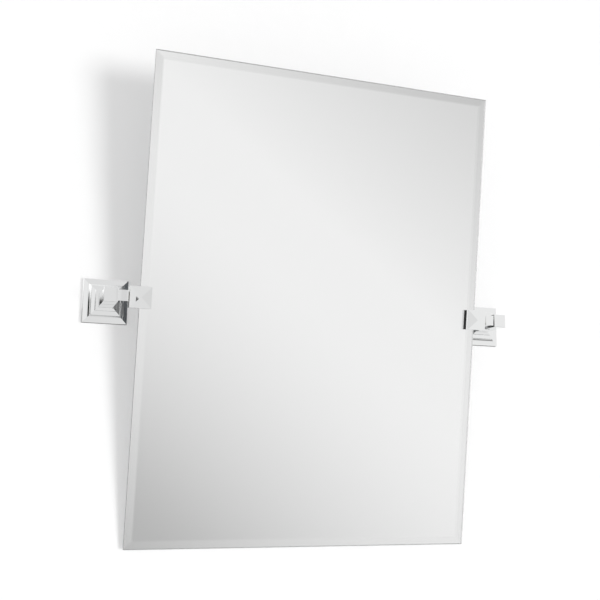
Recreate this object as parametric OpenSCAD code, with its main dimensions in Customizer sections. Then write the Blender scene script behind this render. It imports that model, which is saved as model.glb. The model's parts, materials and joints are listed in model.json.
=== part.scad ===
// Pivot wall mirror: a frameless bevelled glass that tilts between two square chrome brackets.
// Millimetres. The wall is the plane y = 0 and the room lies towards -Y; +X is right and +Z is up.
// The origin is on the wall, midway between the brackets, at the height of the pivots.

/* [Glass] */
// Width of the glass
glass_w = 495; // [300:5:900]
// Height of the glass
glass_h = 660; // [420:5:680]
// Thickness of the glass
glass_t = 5; // [4:0.5:6]
// Width of the bevel round the front
glass_bevel_w = 11; // [6:0.5:20]
// Thickness of the glass at the outer edge of the bevel
glass_edge_t = 3; // [2:0.25:3.5]
// Thickness of the silvering on the back
silver_t = 0.15; // [0.1:0.05:0.3]
// Thickness of the protective film behind the silvering
film_t = 0.3; // [0.2:0.05:0.6]
// How far the film stops short of the edge of the glass
film_inset = 2; // [0.5:0.5:5]

/* [Pivot] */
// Distance from the wall to the pivot axis
pivot_d = 56; // [54:0.5:75]
// Tilt of the glass as it hangs here, with its top towards the room, in degrees
rest_tilt = 8.5; // [0:0.5:9]
// Diameter of the journal that the clamps turn on
journal_d = 9; // [8:0.5:10]
// Radial running clearance between the journal and its bush
journal_gap = 0.05; // [0.02:0.01:0.08]
// Wall of the nylon bush
bush_t = 1; // [0.8:0.1:1.4]
// Width of the slit along the bush
bush_slit = 1; // [0.5:0.25:2]
// Diameter of the collar that keeps the clamps on the journal
collar_d = 12; // [11:0.5:13]
// Thickness of that collar
collar_t = 2.2; // [1.6:0.2:2.6]
// Diameter of the pivot bolt's shank
shank_d = 6; // [5:0.5:7]
// Length of the pivot bolt's thread inside the arm
bolt_grip = 10; // [7:0.5:12]
// Diameter of the nylon thrust washer
thrust_d = 13; // [12:0.5:15]
// Thickness of the nylon thrust washer
thrust_t = 0.8; // [0.5:0.1:1.5]
// Gap between the turning clamp and the thrust washer
run_gap = 0.2; // [0.1:0.05:0.4]

/* [Wall plate] */
// Width and height of the backplate
plate_w = 60; // [56:1:80]
// Height of the backplate's upright rim
rim_h = 5; // [4.6:0.2:7]
// Width of the outer bevel
outer_bevel_w = 6; // [3:0.5:6.5]
// Rise of the outer bevel
outer_bevel_rise = 1.4; // [0.4:0.2:2.4]
// Radius of the hollow moulding inside the outer bevel
cove_r = 4; // [2.5:0.5:4.5]
// Width of the flat ridge on top of the hollow moulding
ridge_w = 1.2; // [0.6:0.2:1.6]
// Width of the sloping field
field_w = 4.6; // [2:0.2:5]
// Rise of the sloping field
field_rise = 1; // [0.2:0.2:2]
// Height of the small step inside the field
step_rise = 0.6; // [0.3:0.1:1.2]
// Rise of the slope from that step to the foot of the arm
seat_rise = 0.6; // [0.2:0.1:1]
// Width of the flat land round the foot of the arm
seat_land = 0.7; // [0.3:0.1:1.2]
// Wall of the hollow backplate
shell_t = 2; // [1.6:0.1:2.2]
// Radius of the boss behind the arm
boss_r = 8; // [6.5:0.5:9]
// Height of the boss behind the arm
boss_h = 1.5; // [0.5:0.25:2]

/* [Wall bracket] */
// Width and height of the flat bracket inside the backplate
bracket_w = 36; // [35:0.5:38]
// Thickness of the bracket
bracket_t = 3; // [2.5:0.25:3.5]
// How far its top and bottom edges slope back to the wall
dovetail_run = 1.5; // [0.8:0.1:1.6]
// Distance between the two wall screw holes
wall_screw_pitch = 24; // [23:0.5:25]
// Diameter of the wall screw holes
wall_screw_d = 4.5; // [4:0.1:5]
// Depth of their countersinks
wall_sink_d = 1.6; // [1:0.1:2]
// Diameter of the set screw under the backplate
set_screw_d = 3; // [2.5:0.5:3]
// Width of the boss round the set screw
set_boss_w = 7; // [6:0.5:10]
// How far that boss stays from the bracket
set_boss_gap = 2.5; // [1:0.5:4]
// Width of the hook at the top of the backplate
hook_w = 12; // [6:1:20]

/* [Arm] */
// Side of the square arm
arm_w = 19; // [17:0.5:21]
// How far the arm runs on past the pivot bar
arm_nose = 1.5; // [0.8:0.1:6]
// Eased edge of arm and pivot bar
edge_ease = 0.4; // [0.2:0.1:0.8]
// Depth of the seats that arm and pivot bar stand in
seat_d = 0.8; // [0.4:0.1:1]
// Side of the square pivot bar
bar_w = 15; // [13:0.5:16.5]
// Length of the pivot bar that shows between arm and clamp
bar_l = 13.5; // [8:0.5:40]
// Diameter of the screw that holds the arm
arm_screw_d = 6; // [5:0.5:7]
// Length of that screw under its head
arm_screw_l = 18; // [14:0.5:24]
// Diameter of its head
arm_head_d = 10; // [9.5:0.25:11]
// Height of its head
arm_head_h = 3.3; // [2.6:0.1:3.8]
// Thickness of the spring washer under its head
arm_washer_t = 1.3; // [0.8:0.1:1.6]

/* [Clamp] */
// Side of the square clamp
clamp_w = 29; // [28:0.5:36]
// Distance from the pivot axis to the edge of the clamp's front
clamp_front_d = 8.5; // [8:0.1:11]
// Distance from the pivot axis to the back of the clamp
clamp_back_d = 8.5; // [8.2:0.1:11]
// Height of the diamond point on the front
point_h = 3; // [1:0.25:6]
// Parting gap between the clamp's two halves
parting = 0.4; // [0.2:0.1:0.8]
// Thickness of the rubber gasket round the glass
gasket_t = 1; // [0.6:0.1:1.5]
// How far the gasket stays inside the clamp's outline
gasket_inset = 0.3; // [0:0.1:1]
// Diameter of the clamp screws
clamp_screw_d = 4; // [3:0.5:4]
// Length of the clamp screws under their heads
clamp_screw_l = 10; // [8:0.5:11]
// Diameter of their heads
clamp_head_d = 7; // [6.6:0.1:7.2]
// Height of their heads
clamp_head_h = 3.8; // [3:0.1:4]

/* [Hidden] */
$fn = 48;
cove_steps = 8;              // flats that make the hollow moulding
seat_gap = 0.05;             // play of a square end in its seat
thread_gap = 0.1;            // a thread stands this far from its tapped hole
screw_gap = 0.2;             // a shank stands this far from its clearance hole
touch_gap = 0.05;            // set screw to the edge it presses on
hook_gap = 0.3;              // hook to the edge it hangs on
collar_gap = 0.3;            // collar to its pocket and to the bush
collar_wall = 1.3;           // metal between the gasket and that pocket
bush_gap = 0.03;             // bush to the bore of the clamp
hole_spare = 1.5;            // a tapped hole runs on this far past its screw
head_gap = 1.5;              // the bracket's middle hole clears the arm screw's head by this much
step_run = 0.3;              // the small step leans back this much
recess = 0.2;                // heads and inner bosses lie this far below the face beside them
through = 1;                 // cuts run past the faces that they open
hex_key_l = 4;               // key size of arm screws and pivot bolts
hex_key_m = 3;               // key size of clamp screws
hex_key_s = 1.5;             // key size of set screws
back_ease = 0.8;             // chamfer round the back of the clamp

// heights above the wall on the backplate
cove_foot = rim_h + outer_bevel_rise;
ridge_h = cove_foot + cove_r;
field_h = ridge_h + field_rise;
plate_h = field_h + step_rise + seat_rise;
seat_h = plate_h - seat_d;                      // the arm's foot stands here
boss_face = plate_h - shell_t - boss_h;         // the arm screw's washer bears here
arm_head_top = boss_face - arm_washer_t;
arm_end = pivot_d + bar_w/2 + arm_nose;         // front end of the arm
set_screw_h = bracket_t - set_screw_d/4;        // height of the set screw above the wall

// places along X, counted from the middle of the mirror
edge_x = glass_w/2;
clamp_in = edge_x - clamp_w/2;
clamp_out = edge_x + clamp_w/2;
bar_in = clamp_out + run_gap + thrust_t;
bar_out = bar_in + bar_l + seat_d;
bracket_x = bar_in + bar_l + arm_w/2;
pocket_in = edge_x + gasket_t + collar_wall;
collar_in = pocket_in + collar_gap;
bush_in = collar_in + collar_t + collar_gap;

// depths in the glass's own frame, positive towards the wall, from the pivot axis
glass_front = -glass_t/2;
glass_back = glass_t/2;
silver_back = glass_back + silver_t;
film_back = silver_back + film_t;
gasket_front = glass_front - gasket_t;
gasket_back = film_back + gasket_t;

bush_r = journal_d/2 + journal_gap + bush_t;
bore_r = bush_r + bush_gap;
clamp_screw_z = (bore_r + clamp_w/2)/2;
clamp_screw_x = edge_x + (gasket_t + clamp_w/2)/2;
clamp_head_back = clamp_back_d - recess;

chrome = [0.86, 0.87, 0.88];
steel = [0.62, 0.63, 0.64];
nylon = [0.92, 0.91, 0.87];
rubber = [0.08, 0.08, 0.08];

// ---- helpers ----------------------------------------------------------------------------------

// an outline in (y, z) drawn out along X, centred
module along_x(l) rotate([90, 0, 90]) linear_extrude(l, center = true) children();

// an outline in (x, z) drawn out along Y, centred
module along_y(l) rotate([90, 0, 0]) linear_extrude(l, center = true) children();

// a rectangle with eased corners
module eased_rect(w, h, e) polygon([
    [-w/2 + e, -h/2], [w/2 - e, -h/2], [w/2, -h/2 + e], [w/2, h/2 - e],
    [w/2 - e, h/2], [-w/2 + e, h/2], [-w/2, h/2 - e], [-w/2, -h/2 + e]
]);

// a block with all its edges eased, centred
module eased_block(size, e) intersection() {
    along_x(size.x) eased_rect(size.y, size.z, e);
    along_y(size.y) eased_rect(size.x, size.z, e);
    linear_extrude(size.z, center = true) eased_rect(size.x, size.y, e);
}

// a box from one corner to the opposite one
module box(a, b) translate(a) cube(b - a);

// the same thing on the left
module on_left() mirror([1, 0, 0]) children();

// a bracket's own frame: Z is the height above the wall and Y points up
module on_wall() translate([bracket_x, 0, 0]) rotate([90, 0, 0]) children();

// round shapes along the pivot axis, drawn from x = 0 outwards
module on_pivot() translate([0, -pivot_d, 0]) rotate([0, 90, 0]) children();

// the glass's own frame, with the pivot axis at its origin
module on_glass() translate([0, -pivot_d, 0]) rotate([rest_tilt, 0, 0]) children();

// a hexagon socket of the given key size
module hex_socket(key, depth) cylinder(h = depth, r = key/sqrt(3), $fn = 6);

// ---- wall plate -------------------------------------------------------------------------------

// the moulding of the backplate: distance in from its edge, height above the wall
field_in = outer_bevel_w + cove_r + ridge_w;
step_in = field_in + field_w;
moulding = concat(
    [[0, rim_h]],
    [for (i = [0:cove_steps]) let (a = 90*i/cove_steps)
        [outer_bevel_w + cove_r*sin(a), cove_foot + cove_r*(1 - cos(a))]],
    [
        [field_in, ridge_h],
        [step_in, field_h],
        [step_in + step_run, field_h + step_rise],
        [(plate_w - arm_w)/2 - seat_land, plate_h]
    ]
);

// a point of the moulding as radius and height, for a square swept round its centre
function corner_pt(in, h) = [(plate_w/2 - in)*sqrt(2), h];

module mitred(outline) rotate([0, 0, 45]) rotate_extrude($fn = 4) polygon(outline);

module plate_skin() mitred(concat(
    [corner_pt(0, 0)],
    [for (p = moulding) corner_pt(p[0], p[1])],
    [[0, plate_h], [0, plate_h - shell_t]],
    [for (i = [len(moulding) - 1:-1:0])
        corner_pt(moulding[i][0] + shell_t, moulding[i][1] - shell_t)],
    [corner_pt(shell_t, 0)]
));

module plate_solid() mitred(concat(
    [[0, 0], corner_pt(0, 0)],
    [for (p = moulding) corner_pt(p[0], p[1])],
    [[0, plate_h]]
));

// what is cast on inside: the arm's boss, the set screw's boss and the hook at the top
module plate_inside() intersection() {
    plate_solid();
    union() {
        translate([0, 0, boss_face]) cylinder(h = plate_h, r = boss_r);
        box([-set_boss_w/2, -plate_w, recess],
            [set_boss_w/2, -bracket_w/2 - set_boss_gap, plate_h]);
        rotate([0, -90, 0]) linear_extrude(hook_w, center = true) polygon([
            [recess, plate_w],
            [recess, bracket_w/2 - dovetail_run + hook_gap],
            [bracket_t, bracket_w/2 + hook_gap],
            [rim_h, plate_w/2 - outer_bevel_w],
            [rim_h, plate_w]
        ]);
    }
}

module backplate() color(chrome) on_wall() difference() {
    union() {
        plate_skin();
        plate_inside();
    }
    translate([0, 0, seat_h]) linear_extrude(plate_h) square(arm_w + 2*seat_gap, center = true);
    cylinder(h = plate_h + through, r = arm_screw_d/2 + screw_gap);
    translate([0, 0, set_screw_h]) rotate([90, 0, 0])
        cylinder(h = plate_w, r = set_screw_d/2 + thread_gap);
}

module wall_bracket() color(steel) on_wall() difference() {
    rotate([0, -90, 0]) linear_extrude(bracket_w, center = true) polygon([
        [0, -bracket_w/2 + dovetail_run], [bracket_t, -bracket_w/2],
        [bracket_t, bracket_w/2], [0, bracket_w/2 - dovetail_run]
    ]);
    translate([0, 0, -through])
        cylinder(h = bracket_t + 2*through, r = arm_head_d/2 + head_gap);
    for (s = [-1, 1]) translate([0, s*wall_screw_pitch/2, 0]) {
        translate([0, 0, -through]) cylinder(h = bracket_t + 2*through, r = wall_screw_d/2);
        translate([0, 0, bracket_t - wall_sink_d])
            cylinder(h = wall_sink_d, r1 = wall_screw_d/2, r2 = wall_screw_d/2 + wall_sink_d);
    }
}

module set_screw() color(steel) on_wall() translate([0, -plate_w/2 + recess, set_screw_h])
    rotate([-90, 0, 0]) difference() {
        length = (plate_w - bracket_w)/2 - recess - touch_gap;
        tip = set_screw_d/4;
        union() {
            cylinder(h = length - tip, r = set_screw_d/2);
            translate([0, 0, length - tip]) cylinder(h = tip, r1 = set_screw_d/2, r2 = set_screw_d/4);
        }
        translate([0, 0, -through]) hex_socket(hex_key_s, set_screw_d/2 + through);
    }

// ---- arm --------------------------------------------------------------------------------------

module arm() color(chrome) difference() {
    translate([bracket_x, -(seat_h + arm_end)/2, 0])
        eased_block([arm_w, arm_end - seat_h, arm_w], edge_ease);
    // seat and tapped hole for the pivot bar and its bolt
    translate([bracket_x - arm_w/2, -pivot_d, 0])
        cube([2*seat_d, bar_w + 2*seat_gap, bar_w + 2*seat_gap], center = true);
    on_pivot() translate([0, 0, bar_out - through])
        cylinder(h = bolt_grip + hole_spare + through, r = shank_d/2 + thread_gap);
    // tapped hole in the foot
    on_wall() translate([0, 0, arm_head_top])
        cylinder(h = arm_screw_l + hole_spare, r = arm_screw_d/2 + thread_gap);
}

module arm_screw() color(steel) on_wall() difference() {
    union() {
        translate([0, 0, arm_head_top - arm_head_h]) cylinder(h = arm_head_h, r = arm_head_d/2);
        translate([0, 0, arm_head_top - through]) cylinder(h = arm_screw_l + through, r = arm_screw_d/2);
    }
    translate([0, 0, arm_head_top - arm_head_h - through])
        hex_socket(hex_key_l, arm_head_h/2 + through);
}

module arm_washer() color(steel) on_wall() translate([0, 0, arm_head_top]) difference() {
    cylinder(h = arm_washer_t, r = arm_head_d/2);
    translate([0, 0, -through]) cylinder(h = arm_washer_t + 2*through, r = arm_screw_d/2 + screw_gap);
}

module pivot_bar() color(chrome) difference() {
    translate([(bar_in + bar_out)/2, -pivot_d, 0])
        eased_block([bar_out - bar_in, bar_w, bar_w], edge_ease);
    on_pivot() translate([0, 0, bar_in - through])
        cylinder(h = bar_out - bar_in + 2*through, r = shank_d/2 + screw_gap);
}

module pivot_bolt() color(steel) on_pivot() difference() {
    union() {
        translate([0, 0, collar_in]) cylinder(h = collar_t, r = collar_d/2);
        translate([0, 0, collar_in]) cylinder(h = bar_in - collar_in, r = journal_d/2);
        translate([0, 0, collar_in]) cylinder(h = bar_out + bolt_grip - collar_in, r = shank_d/2);
    }
    translate([0, 0, collar_in - through]) hex_socket(hex_key_l, collar_t + through);
}

module thrust_washer() color(nylon) on_pivot() translate([0, 0, clamp_out + run_gap]) difference() {
    cylinder(h = thrust_t, r = thrust_d/2);
    translate([0, 0, -through]) cylinder(h = thrust_t + 2*through, r = journal_d/2 + screw_gap);
}

// ---- clamp ------------------------------------------------------------------------------------

// the space that both halves leave for bush, collar and screws
module clamp_bores() {
    rotate([0, 90, 0]) {
        translate([0, 0, bush_in]) cylinder(h = clamp_out - bush_in + through, r = bore_r);
        translate([0, 0, pocket_in]) cylinder(h = bush_in - pocket_in, r = collar_d/2 + collar_gap);
    }
    for (s = [-1, 1]) translate([clamp_screw_x, 0, s*clamp_screw_z]) rotate([90, 0, 0]) {
        tip = clamp_screw_l - clamp_head_back + clamp_head_h + hole_spare;
        cylinder(h = tip, r = clamp_screw_d/2 + thread_gap);
        translate([0, 0, -clamp_back_d]) cylinder(h = clamp_back_d, r = clamp_screw_d/2 + screw_gap);
        translate([0, 0, -clamp_back_d - through])
            cylinder(h = clamp_head_h + recess + through, r = clamp_head_d/2 + screw_gap);
    }
}

module clamp_front() color(chrome) on_glass() difference() {
    union() {
        box([clamp_in, -clamp_front_d, -clamp_w/2], [clamp_out, -parting/2, clamp_w/2]);
        // diamond point
        translate([edge_x, -clamp_front_d, 0]) rotate([90, 0, 0]) rotate([0, 0, 45])
            cylinder(h = point_h, r1 = clamp_w/sqrt(2), r2 = 0, $fn = 4);
    }
    box([clamp_in - through, gasket_front, -clamp_w], [edge_x + gasket_t, through, clamp_w]);
    clamp_bores();
}

module clamp_back() color(chrome) on_glass() difference() {
    intersection() {
        box([clamp_in, parting/2, -clamp_w/2], [clamp_out, clamp_back_d, clamp_w/2]);
        // chamfer round the back, with the front edges left sharp at the parting
        translate([edge_x, 0, 0])
            eased_block([clamp_w, 2*clamp_back_d, clamp_w + 2*back_ease], back_ease);
        translate([edge_x, 0, 0])
            eased_block([clamp_w + 2*back_ease, 2*clamp_back_d, clamp_w], back_ease);
    }
    box([clamp_in - through, -through, -clamp_w], [edge_x + gasket_t, gasket_back, clamp_w]);
    clamp_bores();
}

module bush() color(nylon) on_glass() difference() {
    rotate([0, 90, 0]) translate([0, 0, bush_in]) difference() {
        cylinder(h = clamp_out - bush_in, r = bush_r);
        translate([0, 0, -through])
            cylinder(h = clamp_out - bush_in + 2*through, r = journal_d/2 + journal_gap);
    }
    box([bush_in - through, -bush_slit/2, 0], [clamp_out + through, bush_slit/2, bush_r + through]);
}

module gasket() color(rubber) on_glass()
    linear_extrude(clamp_w - 2*gasket_inset, center = true) difference() {
        translate([clamp_in + gasket_inset, gasket_front])
            square([edge_x + gasket_t - clamp_in - gasket_inset, gasket_back - gasket_front]);
        glass_section(glass_w);
        translate([0, glass_back - through]) square([edge_x, film_back - glass_back + through]);
    }

module clamp_screws() color(steel) on_glass()
    for (s = [-1, 1]) translate([clamp_screw_x, clamp_head_back, s*clamp_screw_z])
        rotate([90, 0, 0]) difference() {
            union() {
                cylinder(h = clamp_head_h, r = clamp_head_d/2);
                cylinder(h = clamp_head_h + clamp_screw_l, r = clamp_screw_d/2);
            }
            translate([0, 0, -through]) hex_socket(hex_key_m, clamp_head_h/2 + through);
        }

// ---- mirror -----------------------------------------------------------------------------------

// a section through the glass: across it along the first axis, through it along the second
module glass_section(w) polygon([
    [-w/2, glass_back], [w/2, glass_back], [w/2, glass_back - glass_edge_t],
    [w/2 - glass_bevel_w, glass_front], [-w/2 + glass_bevel_w, glass_front],
    [-w/2, glass_back - glass_edge_t]
]);

module glass() color([0.72, 0.82, 0.80, 0.45]) on_glass() intersection() {
    linear_extrude(glass_h, center = true) glass_section(glass_w);
    rotate([0, -90, 0]) linear_extrude(glass_w, center = true) glass_section(glass_h);
}

module silvering() color([0.90, 0.91, 0.92]) on_glass()
    box([-glass_w/2, glass_back, -glass_h/2], [glass_w/2, silver_back, glass_h/2]);

module backing_film() color([0.45, 0.47, 0.49]) on_glass()
    box([film_inset - glass_w/2, silver_back, film_inset - glass_h/2],
        [glass_w/2 - film_inset, film_back, glass_h/2 - film_inset]);

// ---- the whole --------------------------------------------------------------------------------

on_left() wall_bracket();  // left_wall_bracket
on_left() backplate();  // left_backplate
on_left() set_screw();  // left_set_screw
on_left() arm();  // left_arm
on_left() arm_screw();  // left_arm_screw
on_left() arm_washer();  // left_arm_washer
on_left() pivot_bar();  // left_pivot_bar
on_left() pivot_bolt();  // left_pivot_bolt
on_left() thrust_washer();  // left_thrust_washer
wall_bracket();  // right_wall_bracket
backplate();  // right_backplate
set_screw();  // right_set_screw
arm();  // right_arm
arm_screw();  // right_arm_screw
arm_washer();  // right_arm_washer
pivot_bar();  // right_pivot_bar
pivot_bolt();  // right_pivot_bolt
thrust_washer();  // right_thrust_washer
on_left() clamp_front();  // left_clamp_front
on_left() clamp_back();  // left_clamp_back
on_left() bush();  // left_bush
on_left() gasket();  // left_gasket
on_left() clamp_screws();  // left_clamp_screws
clamp_front();  // right_clamp_front
clamp_back();  // right_clamp_back
bush();  // right_bush
gasket();  // right_gasket
clamp_screws();  // right_clamp_screws
glass();
silvering();
backing_film();
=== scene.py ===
"""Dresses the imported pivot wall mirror: bevelled silvered glass between two polished chrome brackets.

Lengths are metres in the part's own frame. The wall is the plane y = 0, the room lies towards -Y,
+X is right and +Z is up. The studio is a white wall and floor under a broad key light from the right.
"""

import json
import math

import bmesh
import bpy
from bpy.props import FloatProperty, FloatVectorProperty, IntProperty, PointerProperty
from mathutils import Matrix, Vector


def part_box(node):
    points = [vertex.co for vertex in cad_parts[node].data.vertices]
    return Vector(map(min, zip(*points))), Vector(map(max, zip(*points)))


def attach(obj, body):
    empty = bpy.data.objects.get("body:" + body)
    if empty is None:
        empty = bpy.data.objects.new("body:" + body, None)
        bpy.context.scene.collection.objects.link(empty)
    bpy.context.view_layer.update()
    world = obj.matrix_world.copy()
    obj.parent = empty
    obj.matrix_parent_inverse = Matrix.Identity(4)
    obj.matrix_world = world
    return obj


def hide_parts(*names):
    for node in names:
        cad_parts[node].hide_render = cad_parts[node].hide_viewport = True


bl_info = {
    "name": "Pivot wall mirror",
    "version": (1, 0, 0),
    "blender": (4, 5, 0),
    "location": "View3D > Sidebar > Mirror",
    "description": "Builds the finished look of a bevelled wall mirror that tilts between two brackets",
    "category": "Object",
}

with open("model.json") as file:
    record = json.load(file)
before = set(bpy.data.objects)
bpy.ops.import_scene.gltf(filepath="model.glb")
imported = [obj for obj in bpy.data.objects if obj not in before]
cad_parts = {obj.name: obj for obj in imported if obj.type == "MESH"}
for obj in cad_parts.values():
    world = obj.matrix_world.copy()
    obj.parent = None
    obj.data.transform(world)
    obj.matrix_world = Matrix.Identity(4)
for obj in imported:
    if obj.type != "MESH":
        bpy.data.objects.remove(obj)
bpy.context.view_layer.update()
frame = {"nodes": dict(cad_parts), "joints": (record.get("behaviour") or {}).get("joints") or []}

MM = 0.001
SIDES = ("left", "right")
PIVOT = Vector(frame["joints"][0]["pos_m"])


# ---- places read from the frame ----


def rest_tilt():
    """Angle of the glass at rest, from the biggest face of its silvering."""
    face = max(frame["nodes"]["silvering"].data.polygons, key=lambda p: p.area)
    return math.atan2(abs(face.normal.z), abs(face.normal.y))


TILT = rest_tilt()
GLASS_PLACE = Matrix.Translation(PIVOT) @ Matrix.Rotation(TILT, 4, "X")


def glass_box(node):
    """Lowest and highest corner of a node in the glass's frame, whose origin is on the pivot axis."""
    inverse = GLASS_PLACE.inverted()
    points = [inverse @ v.co for v in frame["nodes"][node].data.vertices]
    low = Vector([min(p[i] for p in points) for i in range(3)])
    high = Vector([max(p[i] for p in points) for i in range(3)])
    return low, high


PLATE_LOW, PLATE_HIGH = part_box("right_backplate")
ARM_LOW, ARM_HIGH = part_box("right_arm")
SILVER_LOW, SILVER_HIGH = glass_box("silvering")


# ---- properties that a user would change ----


def length(name, description, millimetres, **more):
    """A length property, given in millimetres and held in metres."""
    return FloatProperty(
        name=name, description=description, default=millimetres * MM, min=0, unit="LENGTH", **more
    )


def colour(name, description, value):
    """A colour property without alpha."""
    return FloatVectorProperty(
        name=name, description=description, default=value, size=3, min=0, max=1, subtype="COLOR"
    )


def number(name, description, value, low=0.0, high=1.0):
    """A plain number property."""
    return FloatProperty(name=name, description=description, default=value, min=low, max=high)


def angle(name, description, degrees):
    """An angle property, given in degrees and held in radians."""
    return FloatProperty(
        name=name, description=description, default=math.radians(degrees), subtype="ANGLE"
    )


class MirrorMoulding(bpy.types.PropertyGroup):
    """The stepped moulding of the wall plates, from the rim inwards."""

    rim_height: length("Rim height", "Height of the upright rim", 5)
    bevel_width: length("Bevel width", "Width of the outer bevel", 6)
    bevel_rise: length("Bevel rise", "Rise of the outer bevel", 1.4)
    cove_radius: length("Cove radius", "Radius of the hollow moulding", 4)
    cove_steps: IntProperty(
        name="Cove steps", description="Flats that make the hollow", default=14, min=3
    )
    ridge_width: length("Ridge width", "Width of the flat ridge on the hollow", 1.2)
    field_width: length("Field width", "Width of the sloping field", 4.6)
    field_rise: length("Field rise", "Rise of the sloping field", 1)
    step_rise: length("Step rise", "Height of the small step inside the field", 0.6)
    step_run: length("Step run", "How far the small step leans back", 0.3)
    seat_rise: length("Seat rise", "Rise from the small step to the foot of the arm", 0.6)
    seat_land: length("Seat land", "Width of the flat round the foot of the arm", 0.7)
    seat_depth: length("Seat depth", "Depth of the seat that the arm stands in", 0.8)
    shell: length("Wall", "Wall thickness of the hollow plate", 2)
    boss_radius: length("Boss radius", "Radius of the boss behind the arm", 8)
    boss_height: length("Boss height", "Height of the boss behind the arm", 1.5)
    corner: length("Corner", "Rounding along the steps of the moulding", 0.5, precision=5)
    edge: length("Edge", "Rounding of the plate's mitres", 0.18, precision=5)


class MirrorFittings(bpy.types.PropertyGroup):
    """Small sizes of the arms, clamps, screws and glass."""

    edge: length("Edge", "Rounding of the edges of arms, bars and clamps", 0.2, precision=5)
    arris: length("Arris", "Dulled edge of the glass", 0.15, precision=5)
    silver_sink: length("Silver sink", "How far the silver reaches into the glass", 0.02, precision=5)
    bevel_width: length("Glass bevel", "Width of the glass's bevel", 11)
    bevel_left: angle("Left bevel", "How far the shading of the glass's left bevel leans outwards", 6)
    bevel_right: angle("Right bevel", "How far the shading of its right bevel leans outwards", -1)
    bevel_bottom: angle("Bottom bevel", "How far the shading of its bottom bevel leans outwards", 3.5)
    bevel_top: angle("Top bevel", "How far the shading of its top bevel leans outwards", -3)
    clamp_head: length("Clamp screw head", "Height of the clamp screws' heads", 3.8)
    arm_head: length("Arm screw head", "Height of the arm screws' heads", 3.3)
    clamp_shank: length("Clamp screw shank", "Diameter of the clamp screws", 4)
    arm_shank: length("Arm screw shank", "Diameter of the arm screws", 6)
    clamp_key: length("Clamp screw key", "Key size of the clamp screws", 3)
    arm_key: length("Arm screw key", "Key size of the arm screws", 4)
    set_key: length("Set screw key", "Key size of the set screws", 1.5)
    washer_slit: length("Washer slit", "Width of the slit in the spring washers", 0.9)


class MirrorFinishes(bpy.types.PropertyGroup):
    """Colours of the finishes."""

    chrome: colour("Chrome", "Polished chrome plate", (0.925, 0.93, 0.93))
    zinc: colour("Zinc", "Zinc plate on the wall brackets", (0.56, 0.57, 0.59))
    steel: colour("Steel", "Bright steel of the fixings", (0.52, 0.52, 0.53))
    nylon: colour("Nylon", "Natural nylon of bushes and washers", (0.84, 0.82, 0.76))
    rubber: colour("Rubber", "Black rubber of the gaskets", (0.012, 0.012, 0.013))
    glass: colour("Glass", "Tint of the clear glass", (0.988, 0.989, 0.988))
    glass_edge: colour("Glass edge", "Tint of the glass near its edges", (0.95, 0.965, 0.96))
    # painted shade: the darker tint in the bevel stands for the darker reflection that the bevel shows
    glass_bevel_shade: colour("Glass bevel", "Tint of the glass in its bevel", (0.915, 0.916, 0.915))
    silver: colour("Silver", "Silver coat behind the glass", (0.958, 0.959, 0.958))
    paint: colour("Paint", "Paint that seals the back of the silver", (0.10, 0.11, 0.115))
    film: colour("Film", "Protective film on the back", (0.16, 0.17, 0.18))


class MirrorStudio(bpy.types.PropertyGroup):
    """Light, wall and camera."""

    wall: colour("Wall", "Colour of wall and floor", (0.97, 0.97, 0.97))
    wall_glow: number(
        "Wall glow", "How much of the wall's white is its own, which lightens the shadows", 0.447
    )
    key_power: number("Key", "Strength of the key light", 2.12, high=20)
    key_side: angle("Key side", "How far the key light stands to the right of straight ahead", 34)
    key_height: angle("Key height", "How far the key light stands above the horizon", -5.7)
    key_spread: angle("Key spread", "Angle that the key light fills, which softens its shadows", 22)
    fill: number("Fill", "Level of the even light from all round", 0.42, high=5)
    room_in_glass: number("Room in glass", "Brightest level that the mirror shows", 0.92)
    rear_power: number("Rear", "Strength of the light behind the wall", 1.2, high=20)
    camera_place: FloatVectorProperty(
        name="Camera",
        description="Where the camera stands",
        default=(-0.427, -1.241, -0.206),
        subtype="TRANSLATION",
        unit="LENGTH",
    )
    camera_pan: angle("Pan", "Camera turned to the right", 18.72)
    camera_pitch: angle("Pitch", "Camera turned up", 9.87)
    camera_roll: angle("Roll", "Camera turned about its own axis", -0.77)
    camera_lens: number("Lens", "Focal length in millimetres on a 36 mm frame", 54.73, 10, 200)


# ---- node helpers ----


def feed(node, inputs):
    """Sets inputs of a node, by name or number, each to a value or to the socket that feeds it."""
    for key, value in inputs.items():
        if isinstance(value, bpy.types.NodeSocket):
            node.id_data.links.new(value, node.inputs[key])
        else:
            node.inputs[key].default_value = value


def add_node(tree, kind, inputs=None, **settings):
    """Adds a node with its settings and inputs."""
    node = tree.nodes.new(kind)
    for name, value in settings.items():
        setattr(node, name, value)
    feed(node, inputs or {})
    return node


def output(tree, kind, inputs=None, **settings):
    """The first output of a new node."""
    return add_node(tree, kind, inputs, **settings).outputs[0]


def calc(tree, operation, *values, clamp=False):
    """A Math node's result."""
    inputs = dict(enumerate(values))
    return output(tree, "ShaderNodeMath", inputs, operation=operation, use_clamp=clamp)


def remap(tree, value, low, high, to_low=0.0, to_high=1.0, smooth=False):
    """A Map Range node's result."""
    inputs = {"Value": value, "From Min": low, "From Max": high, "To Min": to_low, "To Max": to_high}
    kind = "SMOOTHSTEP" if smooth else "LINEAR"
    return output(tree, "ShaderNodeMapRange", inputs, interpolation_type=kind)


def blend(tree, factor, a, b):
    """A number between a and b."""
    return output(tree, "ShaderNodeMix", {0: factor, 2: a, 3: b})


def blend_colour(tree, factor, a, b):
    """A colour between a and b."""
    a, b = (c if isinstance(c, bpy.types.NodeSocket) else (*c[:3], 1) for c in (a, b))
    return add_node(tree, "ShaderNodeMix", {0: factor, 6: a, 7: b}, data_type="RGBA").outputs[2]


def noise(tree, vector, scale, detail):
    """A Noise Texture's value."""
    return output(tree, "ShaderNodeTexNoise", {"Vector": vector, "Scale": scale, "Detail": detail})


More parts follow.
